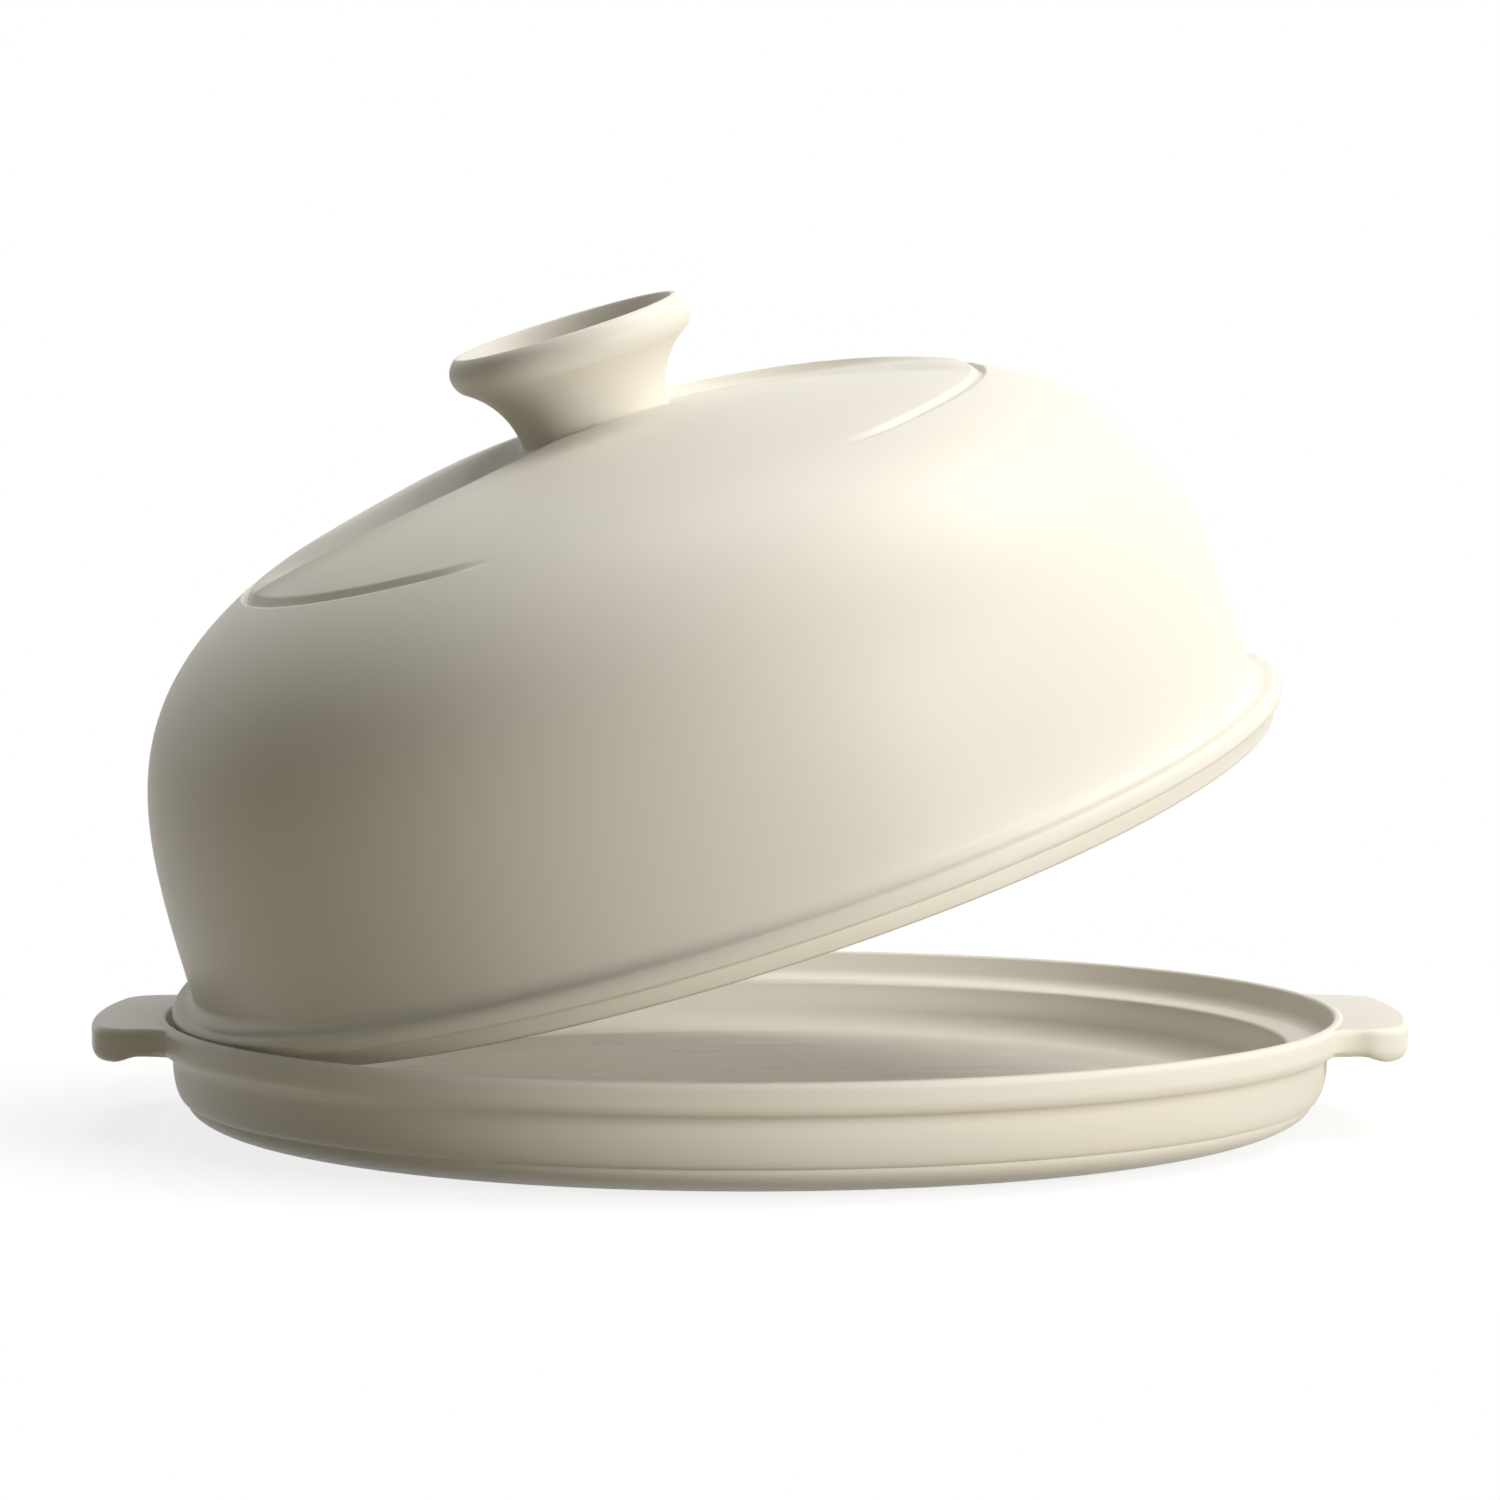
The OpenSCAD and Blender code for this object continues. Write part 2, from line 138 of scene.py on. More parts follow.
def dishSection():
    d = dishForm
    rim = d["boreRadius"] + d["rimWidth"]
    bowl = rim - d["bandStep"]
    heel = bowl - d["heelInset"]
    ledge = d["height"] - d["ledgeDrop"]
    ledgeOut = d["boreRadius"] - d["boreDraft"] - d["ledgeCove"]
    ledgeIn = ledgeOut - d["ledgeWidth"]
    wallFoot = ledgeIn - d["wallSlant"]
    floorZ = d["footHeight"] + d["floor"]
    bandLow = d["height"] - d["bandHeight"]
    rise = d["bandBend"] * math.sin(math.radians(d["bandTurn"]))
    bowlTop = bandLow - rise

    cove, ledgeCove, ledgeRound = d["floorCove"], d["ledgeCove"], d["ledgeRound"]
    line = densify([(poleRadius, floorZ), (d["fineFloor"], floorZ)], d["fineStep"])
    line += arc(wallFoot - cove, floorZ + cove, cove, -90, -d["wallLean"], 16)
    line += arc(ledgeIn + ledgeRound, ledge - ledgeRound, ledgeRound, 180 - d["wallLean"], 90, 8)
    line += arc(ledgeOut, ledge + ledgeCove, ledgeCove, -90, -d["boreLean"], 12)

    boreRound, rimRound, bend = d["boreRound"], d["rimRound"], d["bandBend"]
    line += arc(d["boreRadius"] + boreRound, d["height"] - boreRound, boreRound,
                180 - d["boreLean"], 90, 7)
    line += arc(rim - rimRound, d["height"] - rimRound, rimRound, 90, 0, 9)
    line += arc(rim - bend, bandLow + rise, bend, 0, -d["bandTurn"], 12)
    line += arc(bowl + bend, bowlTop, bend, 180 - d["bandTurn"], 180, 12)
    line += bulge(heel, bowl, d["heelHeight"], bowlTop, 82, 0, 14)
    line += bulge(d["footRadius"], heel, 0.0, d["heelHeight"], 86, 6, 22)

    footIn = d["footRadius"] - d["footWidth"]
    outer, inner, recess = d["footOuterRound"], d["footInnerRound"], d["recessRound"]
    line += arc(d["footRadius"] - outer, outer, outer, -40, -90, 3)
    line += arc(footIn + inner, inner, inner, -90, -170, 4)
    line += arc(footIn - d["recessSlant"] - recess, d["footHeight"] - recess, recess, 0, 90, 5)
    line += [(poleRadius, d["footHeight"])]
    return densify(line, d["step"])


def dishRings():
    d = dishForm
    section = dishSection()
    rings = turned(section, d["columns"])
    x, y = rings[..., 0], rings[..., 1]

    # low ridges along x on the floor, inside a round patch
    isInside = np.array([z > d["footHeight"] + d["floor"] / 2 for _, z in section])[:, None]
    onFloor = isInside & (np.hypot(x, y) < d["fineFloor"])
    across = (y + d["ridgePitch"] / 2) % d["ridgePitch"] - d["ridgePitch"] / 2
    reach = np.sqrt(np.maximum(1, d["ridgePatch"] ** 2 - (y - across) ** 2))
    crest = np.clip(1 - (2 * across / d["ridgeWidth"]) ** 2, 0, 1) ** d["ridgeSwell"]
    ends = ease((reach + d["ridgePast"] - np.abs(x)) / d["ridgeEnd"])
    rings[..., 2] += np.where(onFloor, d["ridgeHeight"] * crest * ends, 0)

    bareFrom = d["footRadius"] - d["footWidth"] - d["bareInside"]
    bareTo = d["footRadius"] + d["bareOutside"]
    footBare = np.array([1 - ease((z - d["bareHeight"]) / d["bareFade"])
                         if bareFrom < r < bareTo else 0.0 for r, z in section])
    return rings, footBare


handleForm = {
    "reach": 15.5, "width": 79.0, "thickness": 8.5, "drop": 0.5,
    "corner": 11.0, "cornerGap": 0.3, "blend": 10.0, "blendShare": 0.62, "blendFlow": 1.5,
    "topRound": 1.8, "lowRound": 3.0,
    "hollow": 1.5, "hollowTip": 4.0, "hollowTipFade": 6.0, "hollowRoot": 0.5, "hollowRootFade": 3.0,
    # how deep the handle's inner end is sunk into the rim and the bowl
    "inRim": 0.9, "topStart": 1.65, "inBowl": 3.0, "lowStart": 1.0, "lowLean": 2.0,
    "bandGap": 0.3, "rootDrop": 2.0, "rootTop": 0.7, "rootOverBand": 2.5,
}


def handlePlan():
    # where a handle's blend into the rim and its outer corner have their centres, seen from above
    h = handleForm
    rim = dishForm["boreRadius"] + dishForm["rimWidth"]
    tip, half = rim + h["reach"], h["width"] / 2
    blend = min(h["blend"], h["blendShare"] * h["reach"])
    blendX = math.sqrt((rim + blend) ** 2 - (half + blend) ** 2)
    fits = (tip ** 2 - half ** 2 - (blendX + h["cornerGap"]) ** 2) / (2 * (tip - half))
    corner = min(h["corner"], fits)
    cornerX = math.sqrt((tip - corner) ** 2 - (half - corner) ** 2)
    return rim, tip, half, blend, blendX, corner, cornerX


def handleOutline(drawnIn, startRadius):
    rim, tip, half, blend, blendX, corner, cornerX = handlePlan()
    lean = math.degrees(math.atan2(half + blend, blendX))
    side, steps = [], 14
    for k in range(steps + 1):
        share = k / steps
        a = math.radians(180 + lean + (90 - lean) * share)
        inner = (rim - startRadius - drawnIn) * (1 - share) ** handleForm["blendFlow"]
        r = blend + drawnIn + inner
        side.append((blendX + r * math.cos(a), half + blend + r * math.sin(a)))
    cornerTurn = math.degrees(math.atan2(half - corner, cornerX))
    side += arc(cornerX, half - corner, corner - drawnIn, 90, cornerTurn, 18)
    front = arc(0, 0, tip - drawnIn, cornerTurn, -cornerTurn, 20)[1:-1]
    return side + front + [(x, -y) for x, y in reversed(side)]


def gripRise(r):
    # how far the underside is hollowed for the fingers: nothing at the tip and at the bowl
    h = handleForm
    rim, tip = handlePlan()[:2]
    bowl = rim - dishForm["bandStep"]
    atTip = ease((tip - r - h["hollowTip"]) / h["hollowTipFade"])
    atRoot = ease((r - bowl + h["hollowRoot"]) / h["hollowRootFade"])
    return h["hollow"] * float(atTip * atRoot)


def handleRings():
    h, d = handleForm, dishForm
    top = d["height"] - h["drop"]
    low = top - h["thickness"]
    bowl = d["boreRadius"] + d["rimWidth"] - d["bandStep"]
    inRim, topStart = d["boreRadius"] + h["inRim"], d["boreRadius"] + h["topStart"]
    inBowl, lowStart = bowl - h["inBowl"], bowl - h["lowStart"]
    ledge = d["height"] - d["ledgeDrop"]
    bandLow = d["height"] - d["bandHeight"]

    # how far the outline is drawn in at each level, up the rounded lower and upper edge
    turns = np.radians(np.linspace(0, 90, 10))
    levels = [(h["lowRound"] * (1 - math.sin(a)), low + h["lowRound"] * (1 - math.cos(a)), True)
              for a in turns]
    levels += [(h["topRound"] * (1 - math.sin(a)), top - h["topRound"] * (1 - math.cos(a)), False)
               for a in turns[::-1]]
    edges = []
    for drawnIn, z, isLow in levels:
        isUnderBand = z < bandLow + h["bandGap"]
        start = lowStart + h["lowLean"] * (z - low) if isUnderBand else topStart
        edges.append([(x, y, z + (gripRise(math.hypot(x, y)) if isLow else 0))
                      for x, y in handleOutline(drawnIn, start)])

    # one closed section for each point of the outline, from inside the rim round the underside
    rootZ = min(low, ledge - h["rootDrop"])
    buriedZ = max(ledge - h["rootTop"], bandLow + h["rootOverBand"])
    sections = []
    for k in range(len(edges[0])):
        foot, crown = edges[0][k], edges[-1][k]
        lowTurn, topTurn = math.atan2(foot[1], foot[0]), math.atan2(crown[1], crown[0])
        root = (inBowl * math.cos(lowTurn), inBowl * math.sin(lowTurn), rootZ)
        buried = (inRim * math.cos(topTurn), inRim * math.sin(topTurn))
        under = [(root[0] + (foot[0] - root[0]) * f, root[1] + (foot[1] - root[1]) * f)
                 for f in np.linspace(0.08, 0.95, 18)]
        hollow = [(x, y, low + gripRise(math.hypot(x, y))) for x, y in under]
        flat = [(buried[0] + (crown[0] - buried[0]) * f, buried[1] + (crown[1] - buried[1]) * f,
                 top) for f in (0.75, 0.5, 0.25)]
        sections.append([(*buried, buriedZ), root] + hollow + [e[k] for e in edges]
                        + flat + [(*buried, top)])
    return np.array(sections)


def joinInto(piece, other):
    union = piece.modifiers.new("union", "BOOLEAN")
    union.operation = "UNION"
    union.solver = "EXACT"
    union.object = other
    graph = bpy.context.evaluated_depsgraph_get()
    merged = bpy.data.meshes.new_from_object(
        piece.evaluated_get(graph), preserve_all_data_layers=True, depsgraph=graph)
    piece.modifiers.clear()
    old, piece.data = piece.data, merged
    bpy.data.meshes.remove(old)
    bpy.data.objects.remove(other)


def makeDish():
    rings, footBare = dishRings()
    dish = ringMesh("dish", rings[:, ::-1], {"bareClay": footBare})
    x, y, z = np.moveaxis(handleRings(), -1, 0)
    for side in (0, math.pi):
        c, s = math.cos(side), math.sin(side)
        joinInto(dish, tubeMesh("handle", np.stack([c * x - s * y, s * x + c * y, z], axis=-1)))
    dish.data.name = "dish"
    dish.data.shade_smooth()
    dish.data.set_sharp_from_angle(angle=math.radians(dishForm["sharpFrom"]))
    return dish


# how the lid stands: tilted on the dish's ledge, round a hinge line at its lower left
poseForm = {
    "tilt": 18.0, "turn": 19.0, "ledgeHeight": 20.7, "seatGap": 0.2,
    "hingeInset": 1.65, "hingeRise": 7.25,
}

domeForm = {
    "height": 117.6, "wallRadius": 137.3, "wall": 6.5, "shoulder": 5.25, "curveStart": 22.4,
    "flangeRadius": 143.7, "flangeHeight": 4.6, "flangeTopRound": 2.0, "flangeLowRound": 1.5,
    "cove": 3.0, "lipRadius": 140.0, "lipHeight": 4.7, "lipCove": 0.7, "lipRound": 1.0,
    "innerRound": 1.2, "innerStart": 4.0, "bareHeight": 0.15, "bareFade": 0.4,
    "crownEdge": 2.5, "outerStep": 2.4, "innerStep": 4.0,
    # points round each half of a ring, some of them on the step and on the next crest's rise
    "halfColumns": 240, "stepColumns": 18, "crestColumns": 54,
    "crestReach": 22.0, "crestMost": 64.0, "crestGather": 1.5,
}

swirlForm = {
    # the circle that the crease runs on, and how far the swirl is turned, in degrees
    "radius": 96.0, "turn": 10.5,
    # how far a blade's edge lies beside the line from the axis to its tip
    "sides": (27.1, 37.8, 35.7, 19.6),
    # the step behind the edge; shares are of the radius, and stepFade is in degrees
    "step": 2.4, "stepWidth": 3.0, "stepFade": 100.0, "stepEnd": (0.6, 0.38),
    "widening": 3.0, "wideningShare": (0.7, 0.28),
    "hollow": 2.2, "hollowReach": 25.0, "hollowFade": 20.0,
    "crestRise": 0.6, "crestWidth": 14.0, "crestStart": 0.45,
    "creaseDepth": 1.7, "creaseWidth": 2.2, "creaseLip": 1.3,
    # the crease's length along its circle, in degrees
    "creaseLength": 64.0, "creaseEnd": 18.0,
}

knobForm = {
    "radius": 30.7, "neckRadius": 18.6, "height": 26.7, "wall": 4.5, "floor": 6.0,
    "floorRound": 2.0, "bead": 5.4, "lipRound": 0.9, "lipStart": 55.0, "lipEnd": 150,
    "mouthInset": 4.0, "socketDepth": 2.6, "socketInset": 1.6, "glazeFillet": 1.3,
    "step": 1.6, "columns": 240,
}


def lidPlace():
    p = poseForm
    hingeRadius = domeForm["lipRadius"] - p["hingeInset"]
    hingeHeight = p["ledgeHeight"] + p["hingeRise"]
    seat = p["ledgeHeight"] + p["seatGap"]
    return (Matrix.Rotation(math.radians(p["turn"]), 4, "Z")
            @ Matrix.Translation((-hingeRadius * mm, 0, hingeHeight * mm))
            @ Matrix.Rotation(math.radians(-p["tilt"]), 4, "Y")
            @ Matrix.Translation((hingeRadius * mm, 0, (seat - hingeHeight) * mm))
            @ Matrix.Rotation(math.radians(-p["turn"]), 4, "Z"))


def domeHeight(r, depth=0.0):
    d = domeForm
    curve = d["height"] + d["curveStart"] - depth
    share = 1 - (r / (d["wallRadius"] - depth)) ** 2
    return curve * share ** (1 / d["shoulder"]) - d["curveStart"]


def domeRadius(z, depth=0.0):
    d = domeForm
    curve = d["height"] + d["curveStart"] - depth
    share = ((z + d["curveStart"]) / curve) ** d["shoulder"]
    return (d["wallRadius"] - depth) * np.sqrt(1 - share)


def bladeAngle(r):
    # a blade's edge, as one smooth curve from the neck to the tip
    s, neck = swirlForm, knobForm["neckRadius"]
    sides = (neck, *s["sides"], 0.0)
    u = np.clip((r - neck) / (s["radius"] - neck), 0, 1)
    last = len(sides) - 1
    side = sum(math.comb(last, i) * u ** i * (1 - u) ** (last - i) * c
               for i, c in enumerate(sides))
    return 180 + np.degrees(np.arcsin(np.minimum(1, side / np.maximum(r, neck))))


def stepAngle(r):
    # the step's width as an angle; it widens towards the tip
    s = swirlForm
    start, over = s["wideningShare"]
    wider = s["widening"] * ease((r - start * s["radius"]) / (over * s["radius"]))
    return np.degrees((s["stepWidth"] + wider) / r)


def creaseSide(r):
    # the crease's inner side, from 0 at its top to 1 in the crease
    s = swirlForm
    return 1 - ease((s["radius"] - r - s["creaseLip"]) / s["creaseWidth"])


def bladeCrest(r, ahead):
    # a blade's face rises ahead of its edge, more and more up to the edge
    s, neck = swirlForm, knobForm["neckRadius"]
    distance = np.radians(ahead) * r
    profile = s["crestRise"] * (1 - np.clip(distance / s["crestWidth"], 0, 1)) ** 2
    return profile * ease((r - neck) / (s["crestStart"] * neck)) * (1 - creaseSide(r))


def swirlRise(r, behind):
    # how far the crown stands over the plain dome, at an angle behind a blade's edge
    s = swirlForm
    width = stepAngle(r)
    start, over = s["stepEnd"]
    share = 1 - ease((r - start * s["radius"]) / (over * s["radius"]))
    fall = 1 - (1 - np.clip(behind / width, 0, 1)) ** 2
    away = np.radians(behind) * r / s["hollowReach"]
    hollow = s["hollow"] * ease(away) * (1 - ease(away - 1))
    hollow = hollow * ease((s["radius"] - r) / s["hollowFade"])
    drop = s["step"] * share * fall * (1 - ease((behind - width) / s["stepFade"])) + hollow
    onStep = bladeCrest(r, 0.0) * (1 - fall)
    return np.where(behind < width, onStep, bladeCrest(r, 180 - behind)) - drop


def creaseDrop(r, angle):
    # the crease runs both ways from a tip and fades out along its circle
    s = swirlForm
    fromTip = np.abs((angle + 90) % 180 - 90)
    outer = ease((s["radius"] - r) / s["creaseLip"])
    along = 1 - ease((fromTip - s["creaseLength"] + s["creaseEnd"]) / s["creaseEnd"])
    return s["creaseDepth"] * np.minimum(outer, creaseSide(r)) * along


def crownHeight(r, angle, behind):
    return domeHeight(r) + swirlRise(r, behind) - creaseDrop(r, angle)


def behindColumns(r):
    # angles behind a blade's edge: close together on the step and where the next crest rises
    d = domeForm
    onStep, onCrest = d["stepColumns"], d["crestColumns"]
    width = stepAngle(r)
    ahead = min(d["crestMost"], math.degrees(d["crestReach"] / r))
    first = width * np.linspace(0, 1, onStep, endpoint=False)
    count = d["halfColumns"] - onStep - onCrest
    middle = width + (180 - ahead - width) * np.linspace(0, 1, count, endpoint=False)
    gathered = (1 - np.linspace(0, 1, onCrest, endpoint=False)) ** d["crestGather"]
    return np.concatenate([first, middle, 180 - ahead * gathered])


def domeRing(r, heightAt):
    # a ring whose columns follow the blades' edges, half a turn for each blade
    behind = behindColumns(max(r, knobForm["neckRadius"]))
    halves = []
    for half in (0, 180):
        angle = bladeAngle(r) - behind + half
        turn = np.radians(angle + swirlForm["turn"])
        halves.append(np.stack([r * np.cos(turn), r * np.sin(turn), heightAt(angle, behind)],
                               axis=-1))
    return np.concatenate(halves)


def levelRing(r, z):
    return domeRing(r, lambda angle, behind: np.full_like(behind, z))


def crownRing(r):
    return domeRing(r, lambda angle, behind: crownHeight(r, angle, behind))


def filletRing(t):
    # the glaze that gathers round the knob's foot
    fillet = knobForm["glazeFillet"]
    edge = knobForm["neckRadius"] + fillet
    lift = fillet * (1 - math.cos(t))
    return domeRing(edge - fillet * math.sin(t),
                    lambda angle, behind: crownHeight(edge, angle, behind) + lift)


def socketHeight():
    return float(domeHeight(knobForm["neckRadius"])) - knobForm["socketDepth"]


def lipAndWall():
    # the half section from the crown's outer side down round the lip and up inside, to the axis
    d = domeForm
    top = float(domeHeight(swirlForm["radius"] + d["crownEdge"]))
    flangeTop = d["lipHeight"] + d["flangeHeight"]
    coveZ = flangeTop + d["cove"]
    coveX = float(domeRadius(coveZ))
    quarter = np.linspace(0, math.pi / 2, 60)
    outer = [(float(domeRadius(z)), float(z)) for z in top - (top - coveZ) * (1 - np.cos(quarter))]
    outer += arc(coveX + d["cove"], coveZ, d["cove"], 184, 270, 10)
    upper, lower = d["flangeTopRound"], d["flangeLowRound"]
    outer += arc(d["flangeRadius"] - upper, flangeTop - upper, upper, 90, 0, 10)
    outer += arc(d["flangeRadius"] - lower, d["lipHeight"] + lower, lower, 0, -90, 8)
    lipCove, lipRound, inRound = d["lipCove"], d["lipRound"], d["innerRound"]
    outer += arc(d["lipRadius"] + lipCove, d["lipHeight"] - lipCove, lipCove, 90, 180, 4)
    outer += arc(d["lipRadius"] - lipRound, lipRound, lipRound, 0, -90, 6)

    inner = arc(d["wallRadius"] - d["wall"] + inRound, inRound, inRound, 270, 180, 7)
    inTop = float(domeHeight(0, d["wall"]))
    start = d["innerStart"]
    inner += [(float(domeRadius(z, d["wall"])), float(z))
              for z in start + (inTop - start) * np.sin(quarter[:-1])]
    return densify(outer, d["outerStep"]) + densify(inner, d["innerStep"]) + [(poleRadius, inTop)]


def domeRings():
    d, k, radius = domeForm, knobForm, swirlForm["radius"]
    neck = k["neckRadius"]
    rings = [levelRing(r, socketHeight()) for r in (poleRadius, neck / 2, neck - k["socketInset"])]
    rings += [filletRing(t) for t in np.radians(np.linspace(90, 0, 9))]
    # the rings lie closer together across the crease
    crownRadii = np.concatenate([
        np.linspace(neck + k["glazeFillet"] + 0.4, radius - 5, 74),
        radius - np.linspace(4.6, 1.3, 16), radius - np.linspace(1.1, 0, 7),
        radius + np.array([0.5, 1.4])])
    rings += [crownRing(float(r)) for r in crownRadii]
    bare = [0.0] * len(rings)

    wallInside = d["wallRadius"] - d["wall"] - 1
    for r, z in lipAndWall():
        isLip = z < d["lipHeight"] and r > wallInside
        bare.append(1 - float(ease((z - d["bareHeight"]) / d["bareFade"])) if isLip else 0.0)
        rings.append(levelRing(r, z))
    return np.array(rings), np.array(bare)


def knobSection():
    k = knobForm
    neck, bead, lipRound, floorRound = k["neckRadius"], k["bead"], k["lipRound"], k["floorRound"]
    socketZ = socketHeight()
    beadX = k["radius"] - bead
    lipStart = math.radians(k["lipStart"])
    lipZ = socketZ + k["height"] - lipRound
    beadZ = lipZ - (bead - lipRound) * math.sin(lipStart)
    rise, span = beadZ - socketZ, beadX - neck
    # the flare leaves the neck upright and runs into the bead at the knob's edge
    flare = (span ** 2 + rise ** 2 - bead ** 2) / (2 * (bead + span))
    flareX = neck + flare
    flareEnd = math.degrees(math.atan2(rise, beadX - flareX))
    lipX = beadX + (bead - lipRound) * math.cos(lipStart)
    cup = flare + k["wall"]
    mouth = math.degrees(math.acos((lipX - k["mouthInset"] - flareX) / cup))
    foot = 180 - math.degrees(math.asin((k["floor"] + floorRound) / cup))
    footX = flareX + cup * math.cos(math.radians(foot))
    line = [(poleRadius, socketZ)]
    line += arc(flareX, socketZ, flare, 180, flareEnd, 40)
    line += arc(beadX, beadZ, bead, flareEnd - 180, k["lipStart"], 18)[1:]
    line += arc(lipX, lipZ, lipRound, k["lipStart"], k["lipEnd"], 12)[1:]
    line += arc(flareX, socketZ, cup, mouth, foot, 36)
    line += arc(footX - floorRound, socketZ + k["floor"] + floorRound, floorRound, -10, -90, 8)
    line += [(poleRadius, socketZ + k["floor"])]
    return densify(line, k["step"])


def makeLid():
    place = lidPlace()
    rings, bare = domeRings()
    dome = ringMesh("dome", rings, {"bareClay": bare})
    knob = ringMesh("knob", turned(knobSection(), knobForm["columns"]))
    for piece in (dome, knob):
        piece.data.transform(place)
    return dome, knob


# a range is where a noise starts to show and where it shows fully; heights are in metres
glazeLook = {
    "colour": (0.82, 0.785, 0.7), "deep": (0.795, 0.757, 0.662), "pale": (0.84, 0.81, 0.735),
    "mottleScale": 9.0, "deepRange": (0.52, 0.78), "glossRange": (0.3, 0.7),
    "cloudScale": 7.0, "paleRange": (0.48, 0.72),
    "speckScale": 900.0, "speckRange": (0.68, 0.78), "speckAmount": 0.04,
    "roughness": 0.42, "roughSpread": 0.03, "gloss": 0.25, "ior": 1.5,
    "waveScale": 11.0, "waveHeight": 0.00015, "grainScale": 1400.0, "grainHeight": 0.00001,
}

clayLook = {"colour": (0.62, 0.54, 0.42), "roughness": 0.82}


def feed(links, source, socket):
    # a number is set on the socket, and anything else is linked to it
    if isinstance(source, (int, float)):
        socket.default_value = source
    else:
        links.new(source, socket)


def glazeGroup(look):
    # tone, gloss and gentle waves of a poured glaze, and the bare clay where it was wiped off
    group = bpy.data.node_groups.new("pouredGlaze", "ShaderNodeTree")
    for way, kind, names in (
            ("INPUT", "NodeSocketColor", ("Colour", "Deep Colour", "Pale Colour", "Clay Colour")),
            ("INPUT", "NodeSocketFloat", ("Bare", "Mottle Scale", "Speck Scale", "Speck Amount",
                                          "Gloss Roughness", "Roughness Spread",
                                          "Clay Roughness")),
            ("OUTPUT", "NodeSocketColor", ("Colour",)),
            ("OUTPUT", "NodeSocketFloat", ("Roughness", "Wave", "Grain"))):
        for name in names:
            group.interface.new_socket(name=name, in_out=way, socket_type=kind)
    nodes, links = group.nodes, group.links
    given = nodes.new("NodeGroupInput").outputs
    out = nodes.new("NodeGroupOutput").inputs
    where = nodes.new("ShaderNodeTexCoord")

    def noise(name, scale, detail):
        n = nodes.new("ShaderNodeTexNoise")
        n.name = name
        n.inputs["Detail"].default_value = detail
        links.new(where.outputs["Object"], n.inputs["Vector"])
        feed(links, scale, n.inputs["Scale"])
        return n.outputs["Fac"]

    def ramp(value, limits, results=(0.0, 1.0)):
        m = nodes.new("ShaderNodeMapRange")
        m.interpolation_type = "SMOOTHSTEP"
        links.new(value, m.inputs["Value"])
        for label, number in zip(("From Min", "From Max", "To Min", "To Max"), limits + results):
            m.inputs[label].default_value = number
        return m.outputs["Result"]

    def mix(kind, factor, a, b):
        # a Mix node keeps its colours and its numbers in different sockets
        m = nodes.new("ShaderNodeMix")
        m.data_type = kind
        first, second, result = {"RGBA": (6, 7, 2), "FLOAT": (2, 3, 0)}[kind]
        for source, index in ((factor, 0), (a, first), (b, second)):
            feed(links, source, m.inputs[index])
        return m.outputs[result]

    def calculate(operation, *sources):
        m = nodes.new("ShaderNodeMath")
        m.operation = operation
        for source, socket in zip(sources, m.inputs):
            feed(links, source, socket)
        return m.outputs[0]

    mottle = noise("mottle", given["Mottle Scale"], 3.0)
    speck = noise("speck", given["Speck Scale"], 1.0)
    cloud = noise("cloud", look["cloudScale"], 2.0)
    specks = calculate("MULTIPLY", ramp(speck, look["speckRange"]), given["Speck Amount"])
    tone = mix("RGBA", ramp(mottle, look["deepRange"]), given["Colour"], given["Deep Colour"])
    tone = mix("RGBA", ramp(cloud, look["paleRange"]), tone, given["Pale Colour"])
    tone = mix("RGBA", specks, tone, given["Clay Colour"])
    tone = mix("RGBA", given["Bare"], tone, given["Clay Colour"])
    gloss = calculate("MULTIPLY_ADD", ramp(mottle, look["glossRange"], (-1.0, 1.0)),
                      given["Roughness Spread"], given["Gloss Roughness"])
    links.new(tone, out["Colour"])
    links.new(mix("FLOAT", given["Bare"], gloss, given["Clay Roughness"]), out["Roughness"])
    links.new(noise("wave", look["waveScale"], 1.0), out["Wave"])
    links.new(noise("grain", look["grainScale"], 2.0), out["Grain"])
    return group


def glazeMaterial(name, group, look, clay, hasBare):
    material = bpy.data.materials.new(name)
    material.use_nodes = True
    nodes, links = material.node_tree.nodes, material.node_tree.links
    shader = nodes["Principled BSDF"]
    effect = nodes.new("ShaderNodeGroup")
    effect.node_tree = group
    for label, colour in (("Colour", look["colour"]), ("Deep Colour", look["deep"]),
                          ("Pale Colour", look["pale"]), ("Clay Colour", clay["colour"])):
        effect.inputs[label].default_value = (*colour, 1)
    for label, value in (("Mottle Scale", look["mottleScale"]),
                         ("Speck Scale", look["speckScale"]),
                         ("Speck Amount", look["speckAmount"]),
                         ("Gloss Roughness", look["roughness"]),
                         ("Roughness Spread", look["roughSpread"]),
                         ("Clay Roughness", clay["roughness"])):
        effect.inputs[label].default_value = value
    if hasBare:
        wiped = nodes.new("ShaderNodeAttribute")
        wiped.attribute_name = "bareClay"
        links.new(wiped.outputs["Fac"], effect.inputs["Bare"])
    waves = nodes.new("ShaderNodeBump")
    waves.inputs["Distance"].default_value = look["waveHeight"]
    links.new(effect.outputs["Wave"], waves.inputs["Height"])
    grain = nodes.new("ShaderNodeBump")
    grain.inputs["Distance"].default_value = look["grainHeight"]
    links.new(effect.outputs["Grain"], grain.inputs["Height"])
    links.new(waves.outputs["Normal"], grain.inputs["Normal"])
    links.new(effect.outputs["Colour"], shader.inputs["Base Color"])
    links.new(effect.outputs["Roughness"], shader.inputs["Roughness"])
    links.new(grain.outputs["Normal"], shader.inputs["Normal"])
    shader.inputs["IOR"].default_value = look["ior"]
    shader.inputs["Specular IOR Level"].default_value = look["gloss"]
    return material


cameraSet = {
    "place": (0.0, -1.35, 0.1795), "pitch": 86.333, "lens": 130.2, "sensor": 36.0,
    "clip": (0.02, 50),
}

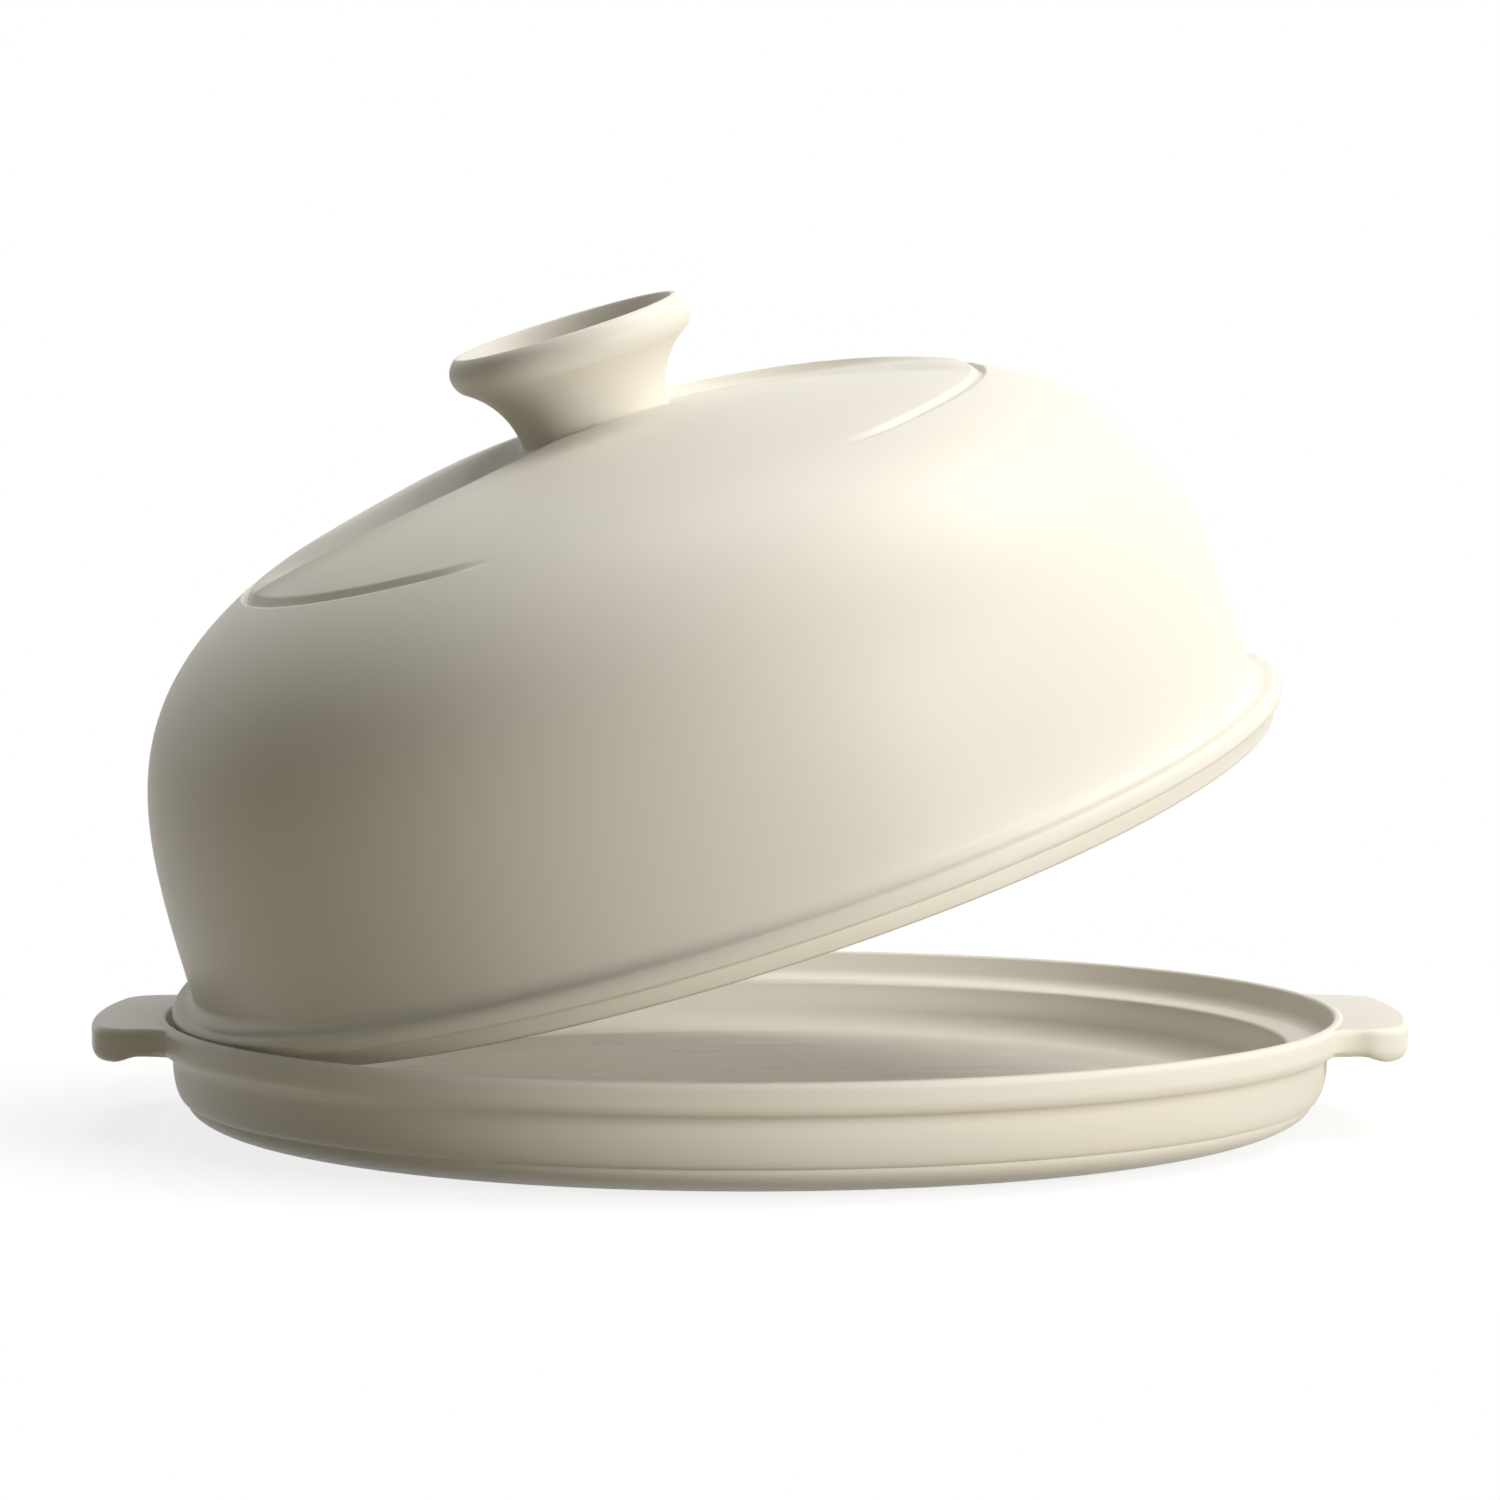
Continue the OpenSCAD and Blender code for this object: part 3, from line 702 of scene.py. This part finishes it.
studio = {
    "world": {"colour": (1.0, 0.93, 0.75), "strength": 0.03},
    # near the object the floor shows its shadow, and it turns to plain white with distance
    "floor": {"size": 24, "place": (0, 6, 0), "cuts": 8,
              "bounce": (0.44, 0.4, 0.3), "roughness": 0.9, "seen": 0.3, "glow": 0.82,
              "whiteFrom": 0.19, "whiteAt": 0.36},
    "aim": (0, 0, 0.09),
    "lamps": {
        "top": {"place": (0.624, 0.11, 1.36), "size": (0.9, 0.9),
                "watts": 14.0, "colour": (1.0, 0.985, 0.95)},
        "key": {"place": (1.55, -1.3, 0.54), "size": (1.0, 0.7),
                "watts": 28.5, "colour": (1.0, 0.99, 0.97)},
        "overhead": {"place": (-0.15, 0.3, 1.5), "size": (0.6, 0.6),
                     "watts": 4.0, "colour": (1.0, 0.985, 0.95)},
        "edge": {"place": (-1.5, 0.7, 0.6), "size": (0.8, 0.8),
                 "watts": 1.0, "colour": (1.0, 0.97, 0.92)},
    },
}


def makeCamera():
    camera = bpy.data.objects.new("camera", bpy.data.cameras.new("camera"))
    bpy.context.scene.collection.objects.link(camera)
    camera.location = cameraSet["place"]
    camera.rotation_euler = (math.radians(cameraSet["pitch"]), 0, 0)
    camera.data.lens = cameraSet["lens"]
    camera.data.sensor_width = cameraSet["sensor"]
    camera.data.clip_start, camera.data.clip_end = cameraSet["clip"]
    bpy.context.scene.camera = camera


def seenRays(nodes, links):
    # 1 for the rays that show the background: straight to the camera, in gloss or through glass
    path = nodes.new("ShaderNodeLightPath")
    last = path.outputs["Is Camera Ray"]
    for label in ("Is Glossy Ray", "Is Transmission Ray"):
        either = nodes.new("ShaderNodeMath")
        either.operation = "MAXIMUM"
        links.new(last, either.inputs[0])
        links.new(path.outputs[label], either.inputs[1])
        last = either.outputs[0]
    return last


def mixShaders(nodes, links, *sources):
    # sources: the factor, the shader at 0 and the shader at 1
    mixed = nodes.new("ShaderNodeMixShader")
    for source, socket in zip(sources, mixed.inputs):
        links.new(source, socket)
    return mixed.outputs[0]


def makeWorld(look):
    world = bpy.data.worlds.new("studio")
    bpy.context.scene.world = world
    world.use_nodes = True
    nodes, links = world.node_tree.nodes, world.node_tree.links
    lit = nodes["Background"]
    lit.inputs["Color"].default_value = (*look["colour"], 1)
    lit.inputs["Strength"].default_value = look["strength"]
    white = nodes.new("ShaderNodeBackground")
    white.inputs["Color"].default_value = (1, 1, 1, 1)
    shown = mixShaders(nodes, links, seenRays(nodes, links), lit.outputs[0], white.outputs[0])
    links.new(shown, nodes["World Output"].inputs["Surface"])


def makeFloor(look):
    bpy.ops.mesh.primitive_grid_add(x_subdivisions=look["cuts"], y_subdivisions=look["cuts"],
                                    size=look["size"], location=look["place"])
    floor = bpy.context.object
    floor.name = "floor"
    material = bpy.data.materials.new("paleFloor")
    material.use_nodes = True
    nodes, links = material.node_tree.nodes, material.node_tree.links
    body = nodes["Principled BSDF"]  # what the floor throws back on the object
    body.inputs["Base Color"].default_value = (*look["bounce"], 1)
    body.inputs["Roughness"].default_value = look["roughness"]
    dim = nodes.new("ShaderNodeBsdfDiffuse")
    dim.inputs["Color"].default_value = (look["seen"],) * 3 + (1,)
    glow = nodes.new("ShaderNodeEmission")
    glow.inputs["Strength"].default_value = look["glow"]
    near = nodes.new("ShaderNodeAddShader")
    links.new(dim.outputs[0], near.inputs[0])
    links.new(glow.outputs[0], near.inputs[1])
    white = nodes.new("ShaderNodeEmission")
    place = nodes.new("ShaderNodeNewGeometry")
    distance = nodes.new("ShaderNodeVectorMath")
    distance.operation = "LENGTH"
    links.new(place.outputs["Position"], distance.inputs[0])
    far = nodes.new("ShaderNodeMapRange")
    far.interpolation_type = "SMOOTHSTEP"
    far.inputs["From Min"].default_value = look["whiteFrom"]
    far.inputs["From Max"].default_value = look["whiteAt"]
    links.new(distance.outputs["Value"], far.inputs["Value"])
    fade = mixShaders(nodes, links, far.outputs["Result"], near.outputs[0], white.outputs[0])
    shown = mixShaders(nodes, links, seenRays(nodes, links), body.outputs[0], fade)
    links.new(shown, nodes["Material Output"].inputs["Surface"])
    floor.data.materials.append(material)


def makeLamps(lamps, target):
    for name, lamp in lamps.items():
        light = bpy.data.lights.new(name, "AREA")
        light.shape = "RECTANGLE"
        light.size, light.size_y = lamp["size"]
        light.energy = lamp["watts"]
        light.color = lamp["colour"]
        holder = bpy.data.objects.new(name, light)
        bpy.context.scene.collection.objects.link(holder)
        holder.location = lamp["place"]
        aim = Vector(target) - Vector(lamp["place"])
        holder.rotation_euler = aim.to_track_quat("-Z", "Y").to_euler()


makeCamera()
makeWorld(studio["world"])
makeFloor(studio["floor"])
makeLamps(studio["lamps"], studio["aim"])
print("camera and studio ready")

group = glazeGroup(glazeLook)
dish = makeDish()
print("dish made:", len(dish.data.vertices), "points")
dome, knob = makeLid()
print("dome and knob made:", len(dome.data.vertices), len(knob.data.vertices), "points")

for piece, body, node, slot, hasBare in (
        (dish, "base", "base_dish", "dish_glaze", True),
        (dome, "lid", "lid_dome", "dome_glaze", True),
        (knob, "lid", "lid_knob", "knob_glaze", False)):
    piece.data.materials.clear()
    piece.data.materials.append(glazeMaterial(slot, group, glazeLook, clayLook, hasBare))
    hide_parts(node)
    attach(piece, body)
print("finishes on")

bpy.context.scene.view_settings.view_transform = "Standard"
